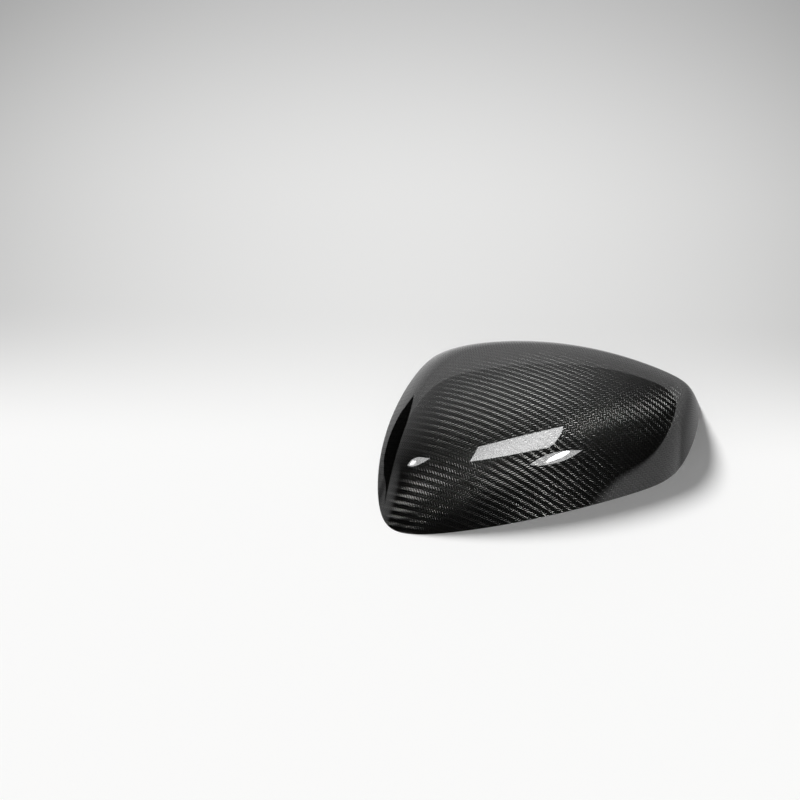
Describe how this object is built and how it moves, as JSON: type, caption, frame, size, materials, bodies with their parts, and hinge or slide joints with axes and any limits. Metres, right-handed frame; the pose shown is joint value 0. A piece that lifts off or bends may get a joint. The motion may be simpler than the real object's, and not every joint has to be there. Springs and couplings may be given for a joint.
{
  "type": "wing mirror cover",
  "caption": "Domed shell that caps a car's wing mirror housing: a wide end, a narrower tip, softly blended walls and a flat trimmed rim, in glossy twill-weave carbon fibre.",
  "frame": {"origin": "middle of the rim's bounding rectangle, in the plane of the rim", "axes": "+X from the wide end to the tip, +Y from the long straight side to the long arched side, +Z from the rim to the crown"},
  "size_m": [0.2355, 0.1627, 0.0505],
  "materials": {
    "carbon_laminate": "twill-weave carbon-fibre laminate under a high-gloss clear coat"
  },
  "bodies": {
    "root": {"cover_shell": "carbon_laminate"}
  },
  "joints": []
}
